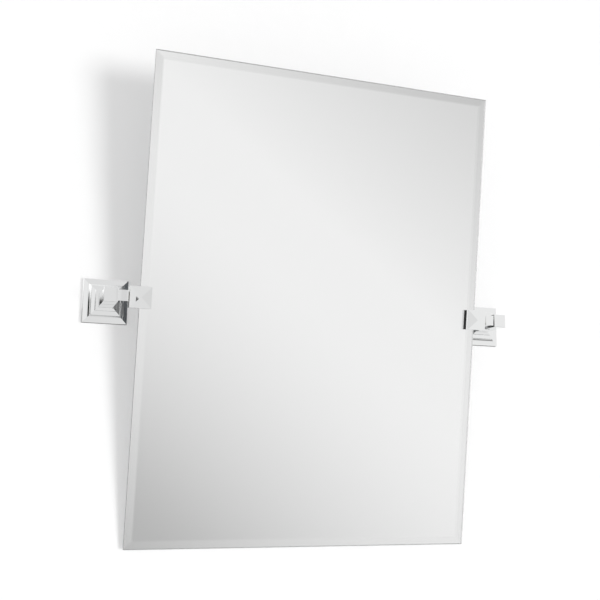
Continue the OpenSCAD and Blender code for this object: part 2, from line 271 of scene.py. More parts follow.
def split(tree, vector):
    """The X, Y and Z of a vector."""
    return add_node(tree, "ShaderNodeSeparateXYZ", {0: vector}).outputs


def new_group(kind, name, inputs, outputs):
    """A node group and its two ends. An input is given as its default number or its socket type."""
    tree = bpy.data.node_groups.new(name, kind)
    for label, given in inputs.items():
        socket_type = "NodeSocket" + (given if isinstance(given, str) else "Float")
        socket = tree.interface.new_socket(label, in_out="INPUT", socket_type=socket_type)
        if not isinstance(given, str):
            socket.default_value = given
    for label, given in outputs.items():
        tree.interface.new_socket(label, in_out="OUTPUT", socket_type="NodeSocket" + given)
    return tree, tree.nodes.new("NodeGroupInput").outputs, tree.nodes.new("NodeGroupOutput")


# ---- shader groups ----


# Directions of the hairlines, how far each is drawn out, and the noise at which one begins and is full
HAIRLINE_TURNS = ((0.3, 0.5, 0.7), (1.1, -0.4, 1.9), (-0.6, 1.3, -0.8))
HAIRLINE_STRETCH = (1, 0.04, 0.04)
HAIRLINE_NOISE = (0.68, 0.76)


def hairlines(tree, vector, scale, turn):
    """Thin streaks along one direction."""
    inputs = {"Vector": vector, "Rotation": turn, "Scale": HAIRLINE_STRETCH}
    drawn_out = output(tree, "ShaderNodeMapping", inputs)
    return remap(tree, noise(tree, drawn_out, scale, 1), *HAIRLINE_NOISE)


def polish_group():
    """Clouds and hairline scratches of a polished surface, as a roughness and a height."""
    tree, given, result = new_group(
        "ShaderNodeTree",
        "Polish",
        {"Vector": "Vector", "Cloud Scale": 60.0, "Hairline Scale": 2500.0, "Low": 0.02, "High": 0.08},
        {"Roughness": "Float", "Height": "Float"},
    )
    cloud_range, cloud_haze, scratch_haze, scratch_depth = (0.3, 0.8), 0.5, 0.5, -0.08
    cloud = noise(tree, given["Vector"], given["Cloud Scale"], 3)
    lines = [hairlines(tree, given["Vector"], given["Hairline Scale"], turn) for turn in HAIRLINE_TURNS]
    scratches = calc(tree, "MAXIMUM", calc(tree, "MAXIMUM", lines[0], lines[1]), lines[2])
    haze = remap(tree, cloud, *cloud_range, 0, cloud_haze)
    haze = calc(tree, "MULTIPLY_ADD", scratches, scratch_haze, haze)
    roughness = remap(tree, haze, 0, 1, given["Low"], given["High"])
    height = calc(tree, "MULTIPLY_ADD", scratches, scratch_depth, cloud)
    feed(result, {"Roughness": roughness, "Height": height})
    return tree


def grain_group():
    """Fine grain with larger mottling, as a mask and a height."""
    tree, given, result = new_group(
        "ShaderNodeTree",
        "Grain",
        {"Vector": "Vector", "Grain Scale": 1500.0, "Mottle Scale": 80.0},
        {"Mask": "Float", "Height": "Float"},
    )
    fine_share, broad_share = 0.4, 0.6
    fine = noise(tree, given["Vector"], given["Grain Scale"], 4)
    broad = noise(tree, given["Vector"], given["Mottle Scale"], 2)
    broad = calc(tree, "MULTIPLY", broad, broad_share)
    feed(result, {"Mask": calc(tree, "MULTIPLY_ADD", fine, fine_share, broad), "Height": fine})
    return tree


def rim_group():
    """Where a point of the glass lies: how far in from its edge, and how far behind the pivot axis.

    The mask is 1 at the edge and 0 from Reach inwards.
    """
    tree, given, result = new_group(
        "ShaderNodeTree",
        "Glass rim",
        {"Vector": "Vector", "Half Width": SILVER_HIGH.x, "Half Height": SILVER_HIGH.z, "Reach": 0.002},
        {"Mask": "Float", "Depth": "Float", "Inwards": "Float"},
    )
    inputs = {"Vector": given["Vector"], "Location": PIVOT, "Rotation": (TILT, 0, 0)}
    place = split(tree, output(tree, "ShaderNodeMapping", inputs, vector_type="TEXTURE"))
    aside = calc(tree, "SUBTRACT", given["Half Width"], calc(tree, "ABSOLUTE", place[0]))
    above = calc(tree, "SUBTRACT", given["Half Height"], calc(tree, "ABSOLUTE", place[2]))
    inwards = calc(tree, "MINIMUM", aside, above)
    mask = remap(tree, inwards, 0, given["Reach"], 1, 0, smooth=True)
    feed(result, {"Mask": mask, "Depth": place[1], "Inwards": inwards})
    return tree


def shared_group(name, maker):
    """The node group of that name, made on first use."""
    return bpy.data.node_groups.get(name) or maker()


def place_group(tree, name, maker, **inputs):
    """Puts a shared group into a material, reading Object coordinates."""
    where = add_node(tree, "ShaderNodeTexCoord").outputs["Object"]
    node = add_node(tree, "ShaderNodeGroup", node_tree=shared_group(name, maker))
    feed(node, {"Vector": where, **{key.replace("_", " "): value for key, value in inputs.items()}})
    return node.outputs


# ---- materials ----


def new_material(name, inputs):
    """A material and its principled shader, with some of the shader's inputs."""
    material = bpy.data.materials.new(name)
    material.use_nodes = True
    tree = material.node_tree
    tree.nodes.clear()
    shader = add_node(tree, "ShaderNodeBsdfPrincipled", inputs)
    add_node(tree, "ShaderNodeOutputMaterial", {"Surface": shader.outputs[0]})
    return material, tree, shader


def mottled(tree, mask, tint, mottle):
    """A tint that is a little darker and lighter in places."""
    dark, light = ([min(1, c * share) for c in tint] for share in (1 - mottle, 1 + mottle))
    return blend_colour(tree, mask, dark, light)


def relief(tree, height, strength, depth):
    """A normal that follows a height."""
    return output(tree, "ShaderNodeBump", {"Height": height, "Strength": strength, "Distance": depth})


def metal(name, tint, low, high, cloud, strength, mottle):
    """A bare or plated metal with polish marks."""
    material, tree, shader = new_material(name, {"Metallic": 1})
    polish = place_group(tree, "Polish", polish_group, Low=low, High=high, Cloud_Scale=cloud)
    grain = place_group(tree, "Grain", grain_group, Grain_Scale=900.0, Mottle_Scale=45.0)
    inputs = {
        "Base Color": mottled(tree, grain["Mask"], tint, mottle),
        "Roughness": polish["Roughness"],
        "Normal": relief(tree, polish["Height"], strength, 0.5 * MM),
    }
    feed(shader, inputs)
    return material


def plastic(name, tint, roughness, grain_scale, strength, mottle):
    """A moulded or sheet material with a fine grain."""
    material, tree, shader = new_material(name, {})
    grain = place_group(tree, "Grain", grain_group, Grain_Scale=grain_scale, Mottle_Scale=60.0)
    inputs = {
        "Base Color": mottled(tree, grain["Mask"], tint, mottle),
        "Roughness": remap(tree, grain["Mask"], 0.3, 0.7, roughness * 0.85, roughness * 1.1),
        "Normal": relief(tree, grain["Height"], strength, 0.2 * MM),
    }
    feed(shader, inputs)
    return material


def clear_glass():
    """Clear float glass that shows its grey-green body along the edges, and a painted shade in its
    bevel.
    """
    finishes = bpy.context.scene.mirror_finishes
    material, tree, shader = new_material("Clear glass", {"Transmission Weight": 1, "IOR": 1.52})
    rim = place_group(tree, "Glass rim", rim_group, Reach=0.5 * MM)
    bevel = bpy.context.scene.mirror_fittings.bevel_width
    # painted shade: the bevel is tinted darker to stand for its darker reflection
    bevel_shade_mask = remap(tree, rim["Inwards"], bevel - 0.5 * MM, bevel + 0.5 * MM, 1, 0, smooth=True)
    body = blend_colour(tree, bevel_shade_mask, finishes.glass, finishes.glass_bevel_shade)
    tint = blend_colour(tree, rim["Mask"], body, finishes.glass_edge)
    polish = place_group(tree, "Polish", polish_group, Low=0.0, High=0.006, Cloud_Scale=9.0)
    feed(shader, {"Base Color": tint, "Roughness": polish["Roughness"]})
    return material


def silver_coat():
    """Silver towards the glass, a little worn along its rim, and sealing paint behind it."""
    finishes = bpy.context.scene.mirror_finishes
    material, tree, shader = new_material("Silver coat", {})
    silver_end, paint_start = SILVER_LOW.y + 0.03 * MM, SILVER_LOW.y + 0.05 * MM
    wear, paint_roughness = 0.04, 0.55
    rim = place_group(tree, "Glass rim", rim_group, Reach=1.5 * MM)
    painted = remap(tree, rim["Depth"], silver_end, paint_start)
    worn = calc(tree, "MULTIPLY", rim["Mask"], wear)
    bright = blend_colour(tree, worn, finishes.silver, finishes.paint)
    inputs = {
        "Base Color": blend_colour(tree, painted, bright, finishes.paint),
        "Metallic": calc(tree, "SUBTRACT", 1, painted),
        "Roughness": remap(tree, painted, 0, 1, 0.0, paint_roughness),
    }
    feed(shader, inputs)
    return material


# How each finish is made: its maker, the name of its colour, and the maker's other values
FINISHES = {
    # low and high roughness, cloud scale, strength of the relief, mottle
    "Polished chrome": (metal, "chrome", 0.012, 0.05, 55.0, 0.012, 0.012),
    "Zinc plate": (metal, "zinc", 0.22, 0.42, 140.0, 0.12, 0.1),
    "Fixing steel": (metal, "steel", 0.16, 0.32, 200.0, 0.08, 0.06),
    # roughness, grain scale, strength of the relief, mottle
    "Natural nylon": (plastic, "nylon", 0.45, 1800.0, 0.1, 0.08),
    "Black rubber": (plastic, "rubber", 0.7, 2600.0, 0.25, 0.3),
    "Backing film": (plastic, "film", 0.5, 700.0, 0.2, 0.12),
}
GLASS_FINISHES = {"Clear glass": clear_glass, "Silver coat": silver_coat}


def finish(name):
    """The material of that name, made on first use."""
    if name in bpy.data.materials:
        return bpy.data.materials[name]
    if name in GLASS_FINISHES:
        return GLASS_FINISHES[name]()
    maker, tint, *values = FINISHES[name]
    return maker(name, getattr(bpy.context.scene.mirror_finishes, tint), *values)


# ---- mesh helpers ----


def put(obj, body, node):
    """Hangs a finished piece on its body, in place of the CAD node that it stands for."""
    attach(obj, body)
    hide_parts(node)
    return obj


def new_object(name, mesh, material=None):
    """Links a mesh as an object at the origin."""
    obj = bpy.data.objects.new(name, mesh)
    bpy.context.scene.collection.objects.link(obj)
    if material:
        mesh.materials.clear()
        mesh.materials.append(material)
    return obj


def mesh_from(bm, name):
    """Turns a bmesh into a mesh with its normals outwards."""
    bmesh.ops.recalc_face_normals(bm, faces=bm.faces)
    mesh = bpy.data.meshes.new(name)
    bm.to_mesh(mesh)
    bm.free()
    return mesh


def node_mesh(node, name):
    """A CAD node's solid as a mesh of whole faces."""
    bm = bmesh.new()
    bm.from_mesh(frame["nodes"][node].data)
    weld, flat = 0.002 * MM, math.radians(0.5)
    bmesh.ops.remove_doubles(bm, verts=bm.verts, dist=weld)
    bmesh.ops.dissolve_limit(
        bm, angle_limit=flat, verts=bm.verts, edges=bm.edges, use_dissolve_boundaries=False
    )
    mesh = bpy.data.meshes.new(name)
    bm.to_mesh(mesh)
    bm.free()
    return mesh


def round_edges(obj, width, limit, segments=2):
    """Rounds every edge that is sharper than the limit, in degrees."""
    bevel = obj.modifiers.new("Edges", "BEVEL")
    bevel.width = width
    bevel.segments = segments
    bevel.limit_method = "ANGLE"
    bevel.angle_limit = math.radians(limit)
    bevel.loop_slide = False


def apply_modifiers(obj):
    """Turns what the modifiers make of the object into its own mesh."""
    depsgraph = bpy.context.evaluated_depsgraph_get()
    depsgraph.update()
    mesh = bpy.data.meshes.new_from_object(obj.evaluated_get(depsgraph), depsgraph=depsgraph)
    obj.modifiers.clear()
    material = next(m for m in mesh.materials if m)
    mesh.materials.clear()
    mesh.materials.append(material)
    mesh.polygons.foreach_set("material_index", [0] * len(mesh.polygons))
    old = obj.data
    obj.data = mesh
    mesh.name = old.name
    bpy.data.meshes.remove(old)


def make_plain(obj, smooth_below=50):
    """Applies the modifiers and shades the object: flats stay flat, and their rounded edges blend."""
    apply_modifiers(obj)
    bm = bmesh.new()
    bm.from_mesh(obj.data)
    limit = math.radians(smooth_below)
    for edge in bm.edges:
        edge.smooth = edge.calc_face_angle(0) < limit
    for face in bm.faces:
        face.smooth = True
    bm.to_mesh(obj.data)
    bm.free()
    shading = obj.modifiers.new("Shading", "WEIGHTED_NORMAL")
    shading.keep_sharp = True
    apply_modifiers(obj)


def prism(bm, outline, low, high, axis):
    """Draws an outline out along an axis: the outline's two numbers fill the other two axes in order."""
    ends = []
    for at in (low, high):
        corners = []
        for pair in outline:
            spot = list(pair)
            spot.insert(axis, at)
            corners.append(bm.verts.new(spot))
        ends.append(corners)
    bm.faces.new(ends[0])
    bm.faces.new(ends[1])
    count = len(outline)
    for i in range(count):
        j = (i + 1) % count
        bm.faces.new((ends[0][i], ends[0][j], ends[1][j], ends[1][i]))


def rounded_node(node, body, material, width, limit=12):
    """A finished copy of a CAD node with soft edges, which stands for the node."""
    obj = new_object(node + "_finished", node_mesh(node, node), finish(material))
    round_edges(obj, width, limit)
    make_plain(obj)
    return put(obj, body, node)


# ---- wall plates ----


def moulding_outline(sizes):
    """The moulding as (distance in from the rim, height above the wall) pairs."""
    foot = sizes.rim_height + sizes.bevel_rise
    field_in = sizes.bevel_width + sizes.cove_radius + sizes.ridge_width
    field_top = foot + sizes.cove_radius + sizes.field_rise
    step_in = field_in + sizes.field_width
    half = (PLATE_HIGH.x - PLATE_LOW.x) / 2
    arm_half = (ARM_HIGH.x - ARM_LOW.x) / 2
    points = [(0, sizes.rim_height)]
    for i in range(sizes.cove_steps + 1):
        turn = math.pi / 2 * i / sizes.cove_steps
        points.append(
            (
                sizes.bevel_width + sizes.cove_radius * math.sin(turn),
                foot + sizes.cove_radius * (1 - math.cos(turn)),
            )
        )
    points += [
        (field_in, foot + sizes.cove_radius),
        (step_in, field_top),
        (step_in + sizes.step_run, field_top + sizes.step_rise),
        (half - arm_half - sizes.seat_land, field_top + sizes.step_rise + sizes.seat_rise),
        (half, field_top + sizes.step_rise + sizes.seat_rise),
    ]
    return points


def soften(points, radius):
    """Rounds the corners of a line with small flats; a slight turn is part of a curve already."""
    slight, flat = math.radians(8), math.radians(7.5)
    most = 0.9  # of either side's length
    line = [Vector(p) for p in points]
    result = [line[0]]
    for before, corner, after in zip(line, line[1:], line[2:]):
        back, on = before - corner, after - corner
        turn = math.pi - back.angle(on)
        if turn < slight:
            result.append(corner)
            continue
        reach = min(radius * math.tan(turn / 2), most * back.length, most * on.length)
        bend = reach / math.tan(turn / 2)
        ahead = -back.normalized()
        aside = (on.normalized() - on.normalized().dot(ahead) * ahead).normalized()
        count = math.ceil(turn / flat)
        for i in range(count + 1):
            part = turn * i / count
            arc = math.sin(part) * ahead + (1 - math.cos(part)) * aside
            result.append(corner - reach * ahead + bend * arc)
    return [tuple(p) for p in result + [line[-1]]]


def moulding_mesh(sizes):
    """The plate's section as a line: up from its inner face, round the rim and in to the middle."""
    outer = soften([(0, 0)] + moulding_outline(sizes), sizes.corner)
    top = outer[-1][1]
    half = outer[-1][0]
    inner = [(x + sizes.shell, max(0, z - sizes.shell)) for x, z in moulding_outline(sizes)]
    inner = [(sizes.shell, 0)] + [p for p in inner if p[0] < half] + [(half, top - sizes.shell)]
    line = inner[::-1] + outer
    mesh = bpy.data.meshes.new("plate_section")
    mesh.from_pydata([(x, 0, z) for x, z in line], [(i, i + 1) for i in range(len(line) - 1)], [])
    return mesh


def mitred_square_tree():
    """Sweeps a section round a square with mitred corners and stands it on the wall."""
    tree, given, result = new_group(
        "GeometryNodeTree",
        "Mitred square",
        {
            "Section": "Geometry",
            "Width": 0.06,
            "Centre": "Vector",
            "Weld": 0.00001,
            "Finish": "Material",
        },
        {"Plate": "Geometry"},
    )
    along = output(tree, "ShaderNodeCombineXYZ", {"Y": 1.0})
    inputs = {"Mesh": given["Section"], "Offset": along, "Offset Scale": 1.0}
    side = output(tree, "GeometryNodeExtrudeMesh", inputs, mode="EDGES")
    place = split(tree, output(tree, "GeometryNodeInputPosition"))
    reach = calc(tree, "SUBTRACT", calc(tree, "MULTIPLY", given["Width"], 0.5), place[0])
    across = calc(tree, "MULTIPLY", calc(tree, "MULTIPLY_ADD", place[1], 2.0, -1.0), reach)
    down = calc(tree, "MULTIPLY", reach, -1.0)
    spot = output(tree, "ShaderNodeCombineXYZ", {"X": across, "Y": down, "Z": place[2]})
    quarter = output(tree, "GeometryNodeSetPosition", {"Geometry": side, "Position": spot})
    inputs = {"Geometry": output(tree, "GeometryNodeGeometryToInstance", {0: quarter}), "Amount": 4}
    copies = add_node(tree, "GeometryNodeDuplicateElements", inputs, domain="INSTANCE").outputs
    turn = output(tree, "ShaderNodeCombineXYZ", {"Z": calc(tree, "MULTIPLY", copies[1], math.pi / 2)})
    turned = output(tree, "GeometryNodeRotateInstances", {"Instances": copies[0], "Rotation": turn})
    joined = output(tree, "GeometryNodeRealizeInstances", {0: turned})
    inputs = {"Geometry": joined, "Distance": given["Weld"]}
    welded = output(tree, "GeometryNodeMergeByDistance", inputs)
    inputs = {"Geometry": welded, "Translation": given["Centre"], "Rotation": (math.pi / 2, 0, 0)}
    stood = output(tree, "GeometryNodeTransform", inputs)
    inputs = {"Geometry": stood, "Material": given["Finish"]}
    feed(result, {"Plate": output(tree, "GeometryNodeSetMaterial", inputs)})
    return tree


def run_tree(obj, tree, **values):
    """Puts a Geometry Nodes tree on an object, with its inputs set by their sockets' identifiers."""
    modifier = obj.modifiers.new(tree.name, "NODES")
    modifier.node_group = tree
    sockets = {
        item.name: item.identifier
        for item in tree.interface.items_tree
        if item.item_type == "SOCKET" and item.in_out == "INPUT"
    }
    for key, value in values.items():
        modifier[sockets[key.replace("_", " ")]] = value


def round_bar(bm, radius, low, high, place, axis, segments):
    """Adds a closed round bar along Y or Z, from low to high, through a place on the other axes."""
    turn = Matrix.Rotation(math.pi / 2, 4, "X") if axis == 1 else Matrix.Identity(4)
    centre = Vector(place)
    centre[axis] = (low + high) / 2
    bmesh.ops.create_cone(
        bm,
        cap_ends=True,
        segments=segments,
        radius1=radius,
        radius2=radius,
        depth=high - low,
        matrix=Matrix.Translation(centre) @ turn,
    )


def plate_bosses(sizes, centre_x):
    """What is cast on inside a plate: the arm's boss, the set screw's boss and the hook at the top."""
    bracket_low, bracket_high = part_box("right_wall_bracket")
    half = (PLATE_HIGH.x - PLATE_LOW.x) / 2
    rim = half - sizes.shell / 2
    top = -sizes.rim_height
    clear = 0.2 * MM  # from the wall
    hook_half, boss_half, boss_gap = 6 * MM, 3.5 * MM, 2.5 * MM
    hook_root, hook_tip = bracket_high.z - 1.2 * MM, bracket_high.z + 0.3 * MM
    bm = bmesh.new()
    hook = [
        (-clear, rim),
        (-clear, hook_root),
        (bracket_low.y, hook_tip),
        (top, half - sizes.bevel_width),
        (top, rim),
    ]
    prism(bm, hook, centre_x - hook_half, centre_x + hook_half, axis=0)
    boss_end = bracket_low.z - boss_gap
    screw_boss = [(-clear, -rim), (top, -rim), (top, boss_end), (-clear, boss_end)]
    prism(bm, screw_boss, centre_x - boss_half, centre_x + boss_half, axis=0)
    skin = PLATE_LOW.y + sizes.shell
    back, front = skin + sizes.boss_height, skin - sizes.shell / 2
    round_bar(bm, sizes.boss_radius, front, back, (centre_x, 0, 0), axis=1, segments=44)
    return new_object("bosses", mesh_from(bm, "bosses"))


def plate_cuts(sizes, side):
    """What is cut from a plate: the arm's seat, its screw hole and the set screw's hole."""
    arm_low, arm_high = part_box(side + "_arm")
    screw_low, screw_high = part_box(side + "_set_screw")
    x = (arm_low.x + arm_high.x) / 2
    play, arm_screw_hole = 0.05 * MM, 3.2 * MM
    seat, hole, thread = bmesh.new(), bmesh.new(), bmesh.new()
    half = arm_high.x - x + play
    outline = [(x - half, -half), (x + half, -half), (x + half, half), (x - half, half)]
    prism(seat, outline, 2 * PLATE_LOW.y, PLATE_LOW.y + sizes.seat_depth, axis=1)
    low, high = 2 * PLATE_LOW.y, PLATE_LOW.y / 2
    round_bar(hole, arm_screw_hole, low, high, (x, 0, 0), axis=1, segments=32)
    radius = (screw_high.x - screw_low.x) / 2 + 2 * play
    low, high = 1.2 * PLATE_LOW.z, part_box("right_wall_bracket")[0].z
    round_bar(thread, radius, low, high, (screw_low + screw_high) / 2, axis=2, segments=24)
    return [new_object("cut", mesh_from(bm, "cut")) for bm in (seat, hole, thread)]


def combine(obj, other, operation):
    """Joins or cuts with another closed solid."""
    modifier = obj.modifiers.new(operation, "BOOLEAN")
    modifier.object = other
    modifier.operation = operation
    modifier.solver = "EXACT"


class MIRROR_OT_wall_plates(bpy.types.Operator):
    """Make both stepped wall plates, swept and mitred round a square"""

    bl_idname = "mirror.wall_plates"
    bl_label = "Wall plates"

    def execute(self, context):
        sizes = context.scene.mirror_moulding
        tree = mitred_square_tree()
        for side in SIDES:
            low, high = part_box(side + "_backplate")
            centre_x = (low.x + high.x) / 2
            plate = new_object(side + "_backplate_finished", moulding_mesh(sizes))
            run_tree(
                plate,
                tree,
                Width=high.x - low.x,
                Centre=(centre_x, 0, 0),
                Finish=finish("Polished chrome"),
            )
            round_edges(plate, sizes.edge, limit=8)
            bosses = plate_bosses(sizes, centre_x)
            cuts = plate_cuts(sizes, side)
            combine(plate, bosses, "UNION")
            for cut in cuts:
                combine(plate, cut, "DIFFERENCE")
            make_plain(plate)
            for helper in (bosses, *cuts):
                bpy.data.objects.remove(helper)
            put(plate, "root", side + "_backplate")
        return {"FINISHED"}


# ---- arms, bars and clamps ----


class MIRROR_OT_arms(bpy.types.Operator):
    """Finish the square arms and the pivot bars"""

    bl_idname = "mirror.arms"
    bl_label = "Arms and pivot bars"

    def execute(self, context):
        edge = context.scene.mirror_fittings.edge
        for side in SIDES:
            for part in ("_arm", "_pivot_bar"):
                piece = rounded_node(side + part, "root", "Polished chrome", edge)
                piece.visible_shadow = False
        return {"FINISHED"}


class MIRROR_OT_clamps(bpy.types.Operator):
    """Finish the two halves of each clamp and the rubber between clamp and glass"""

    bl_idname = "mirror.clamps"
    bl_label = "Clamps"

    def execute(self, context):
        edge = context.scene.mirror_fittings.edge
        for side in SIDES:
            rounded_node(side + "_clamp_front", "mirror", "Polished chrome", edge)
            rounded_node(side + "_clamp_back", "mirror", "Polished chrome", edge)
            rounded_node(side + "_gasket", "mirror", "Black rubber", edge / 2)
        return {"FINISHED"}


# ---- fixings ----


def socket_screw_tree():
    """Puts a screw with a hexagon socket on every point; its head stands along the point's axis."""
    tree, given, result = new_group(
        "GeometryNodeTree",
        "Socket screws",
        {
            "Points": "Geometry",
            "Head Diameter": 0.007,
            "Head Height": 0.004,
            "Chamfer": 0.0004,
            "Shank Diameter": 0.004,
            "Shank Length": 0.01,
            "Key": 0.003,
            "Turn": "Rotation",
            "Finish": "Material",
        },
        {"Screws": "Geometry"},
    )
    tall = given["Head Height"]

    def turned(vertices, low_radius, high_radius, low, high):
        """A straight or tapered turned length between two heights."""
        radii = {"Vertices": vertices, "Radius Top": high_radius, "Radius Bottom": low_radius}
        depth = calc(tree, "SUBTRACT", high, low)
        cone = output(tree, "GeometryNodeMeshCone", {**radii, "Depth": depth})
        lift = output(tree, "ShaderNodeCombineXYZ", {"Z": low})
        return output(tree, "GeometryNodeTransform", {"Geometry": cone, "Translation": lift})

    def share(of, factor):
        """A size times a factor."""
        return calc(tree, "MULTIPLY", of, factor)

    head, shank = share(given["Head Diameter"], 0.5), share(given["Shank Diameter"], 0.5)
    shoulder = calc(tree, "SUBTRACT", tall, given["Chamfer"])
    rim = calc(tree, "SUBTRACT", head, given["Chamfer"])
    tip, root = share(given["Shank Length"], -1.0), share(tall, 0.25)
    solids = [
        turned(40, head, head, 0.0, shoulder),
        turned(40, head, rim, shoulder, tall),
        turned(28, shank, shank, tip, root),
    ]
    union = add_node(tree, "GeometryNodeMeshBoolean", operation="UNION", solver="EXACT")
    for solid in solids:
        feed(union, {"Mesh 2": solid})
    key = calc(tree, "DIVIDE", given["Key"], math.sqrt(3))
    socket = turned(6, key, key, share(tall, 0.45), share(tall, 2.0))
    inputs = {"Mesh 1": union.outputs[0], "Mesh 2": socket}
    screw = output(tree, "GeometryNodeMeshBoolean", inputs, operation="DIFFERENCE", solver="EXACT")
    inputs = {"Points": given["Points"], "Instance": screw, "Rotation": given["Turn"]}
    placed = output(tree, "GeometryNodeInstanceOnPoints", inputs)
    joined = output(tree, "GeometryNodeRealizeInstances", {0: placed})
    inputs = {"Geometry": joined, "Material": given["Finish"]}
    feed(result, {"Screws": output(tree, "GeometryNodeSetMaterial", inputs)})
    return tree


def screws(node, body, spots, turn, width, reach, head, shank, key, chamfer=0.4 * MM):
    """Makes a node's screws: each head stands on its spot along the turned Z axis.

    Width is across the head, and reach is from the top of the head to the tip.
    """
    mesh = bpy.data.meshes.new(node)
    mesh.from_pydata([tuple(p) for p in spots], [], [])
    obj = new_object(node + "_finished", mesh)
    run_tree(
        obj,
        shared_group("Socket screws", socket_screw_tree),
        Turn=turn,
        Head_Diameter=width,
        Head_Height=head,
        Chamfer=chamfer,
        Shank_Diameter=shank,
        Shank_Length=reach - head,
        Key=key,
        Finish=finish("Fixing steel"),
    )
    make_plain(obj, smooth_below=35)
    put(obj, body, node)


def spring_washer(node, slit):
    """A split spring washer in the place of a plain ring: it climbs a little round to the slit."""
    inner_share, thick_share, dulled, steps = 0.64, 0.72, 0.08 * MM, 40
    low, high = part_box(node)
    centre = (low + high) / 2
    outer = (high.x - low.x) / 2
    inner = outer * inner_share
    thick = (high.y - low.y) * thick_share
    climb = (high.y - low.y) - thick
    gap = slit / outer
    bm = bmesh.new()
    rings = []
    for i in range(steps + 1):
        turn = gap / 2 + (2 * math.pi - gap) * i / steps
        near = high.y - climb * i / steps
        section = ((outer, near), (outer, near - thick), (inner, near - thick), (inner, near))
        spots = [(centre.x + r * math.cos(turn), y, centre.z + r * math.sin(turn)) for r, y in section]
        rings.append([bm.verts.new(spot) for spot in spots])
    for a, b in zip(rings, rings[1:]):
        for k in range(4):
            bm.faces.new((a[k], a[(k + 1) % 4], b[(k + 1) % 4], b[k]))
    bm.faces.new(rings[0])
    bm.faces.new(rings[-1][::-1])
    obj = new_object(node + "_finished", mesh_from(bm, node), finish("Fixing steel"))
    round_edges(obj, dulled, limit=40, segments=1)
    make_plain(obj, smooth_below=35)
    put(obj, "root", node)


class MIRROR_OT_fixings(bpy.types.Operator):
    """Make the screws and washers, and finish the pieces inside brackets and clamps"""

    bl_idname = "mirror.fixings"
    bl_label = "Fixings"

    def execute(self, context):
        sizes = context.scene.mirror_fittings
        for side in SIDES:
            self.arm_screw(side + "_arm_screw", sizes)
            self.set_screw(side + "_set_screw", sizes)
            self.clamp_screws(side + "_clamp_screws", sizes)
            spring_washer(side + "_arm_washer", sizes.washer_slit)
            bracket = side + "_wall_bracket"
            rounded_node(bracket, "root", "Zinc plate", 0.15 * MM, limit=30)
            recoat(side + "_pivot_bolt", "Fixing steel")
            recoat(side + "_thrust_washer", "Natural nylon")
            recoat(side + "_bush", "Natural nylon")
        return {"FINISHED"}

    def arm_screw(self, node, sizes):
        """It goes forwards from inside the plate into the arm's rear end."""
        low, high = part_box(node)
        middle = (low + high) / 2
        screws(
            node,
            "root",
            [Vector((middle.x, high.y - sizes.arm_head, middle.z))],
            (-math.pi / 2, 0, 0),
            width=high.x - low.x,
            reach=high.y - low.y,
            head=sizes.arm_head,
            shank=sizes.arm_shank,
            key=sizes.arm_key,
        )

    def set_screw(self, node, sizes):
        """It goes up and has no head: its end with the socket is about as wide as its thread."""
        low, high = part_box(node)
        middle = (low + high) / 2
        width = high.x - low.x
        screws(
            node,
            "root",
            [Vector((middle.x, middle.y, low.z + width))],
            (math.pi, 0, 0),
            width=width,
            reach=high.z - low.z,
            head=width,
            shank=width * 0.98,
            key=sizes.set_key,
            chamfer=0.2 * MM,
        )

    def clamp_screws(self, node, sizes):
        """Two, one above the other, go forwards from the clamp's back."""
        low, high = glass_box(node)
        width = high.x - low.x
        apart = (high.z - low.z - width) / 2
        x, y = (low.x + high.x) / 2, high.y - sizes.clamp_head
        screws(
            node,
            "mirror",
            [GLASS_PLACE @ Vector((x, y, z)) for z in (-apart, apart)],
            (TILT - math.pi / 2, 0, 0),
            width=width,
            reach=high.y - low.y,
            head=sizes.clamp_head,
            shank=sizes.clamp_shank,
            key=sizes.clamp_key,
        )


# ---- glass ----


def recoat(node, material):
    """Gives a CAD node, whose own shape is shown, a finish."""
    mesh = frame["nodes"][node].data
    mesh.materials.clear()
    mesh.materials.append(finish(material))


class MIRROR_OT_glass(bpy.types.Operator):
    """Make the bevelled glass, its silver coat and the film on its back"""

    bl_idname = "mirror.glass"
    bl_label = "Glass"

    def execute(self, context):
        sizes = context.scene.mirror_fittings
        pane = new_object("glass_finished", node_mesh("glass", "glass"), finish("Clear glass"))
        round_edges(pane, sizes.arris, limit=30, segments=1)
        make_plain(pane, smooth_below=2)
        self.lean_bevel(pane.data, sizes)
        put(pane, "mirror", "glass")
        self.silver(sizes)
        recoat("backing_film", "Backing film")
        return {"FINISHED"}

    def lean_bevel(self, mesh, sizes):
        """Leans the shading of each side's bevel, which sets where in the room that side looks."""
        flattest, steepest = math.radians(2), math.radians(20)  # from the glass's face
        front = GLASS_PLACE.to_3x3() @ Vector((0, -1, 0))
        normals = []
        for face in mesh.polygons:
            normal = face.normal
            along = normal.dot(front)
            if flattest < normal.angle(front) < steepest:
                outwards = (normal - along * front).normalized()
                if abs(outwards.x) > abs(outwards.z):
                    lean = sizes.bevel_left if outwards.x < 0 else sizes.bevel_right
                else:
                    lean = sizes.bevel_bottom if outwards.z < 0 else sizes.bevel_top
                normal = front + math.tan(lean) * outwards
            normals += [normal.normalized()] * len(face.vertices)
        mesh.normals_split_custom_set(normals)

    def silver(self, sizes):
        """The coat stops short of the glass's dulled edge and reaches a little into the glass."""
        inset = 2 * sizes.arris
        x, z = SILVER_HIGH.x - inset, SILVER_HIGH.z - inset
        bm = bmesh.new()
        outline = [(-x, -z), (x, -z), (x, z), (-x, z)]
        prism(bm, outline, SILVER_LOW.y - sizes.silver_sink, SILVER_HIGH.y, axis=1)
        bm.transform(GLASS_PLACE)
        coat = new_object("silvering_finished", mesh_from(bm, "silvering"), finish("Silver coat"))
        put(coat, "mirror", "silvering")


# ---- studio ----


WHITE = (1, 1, 1, 1)


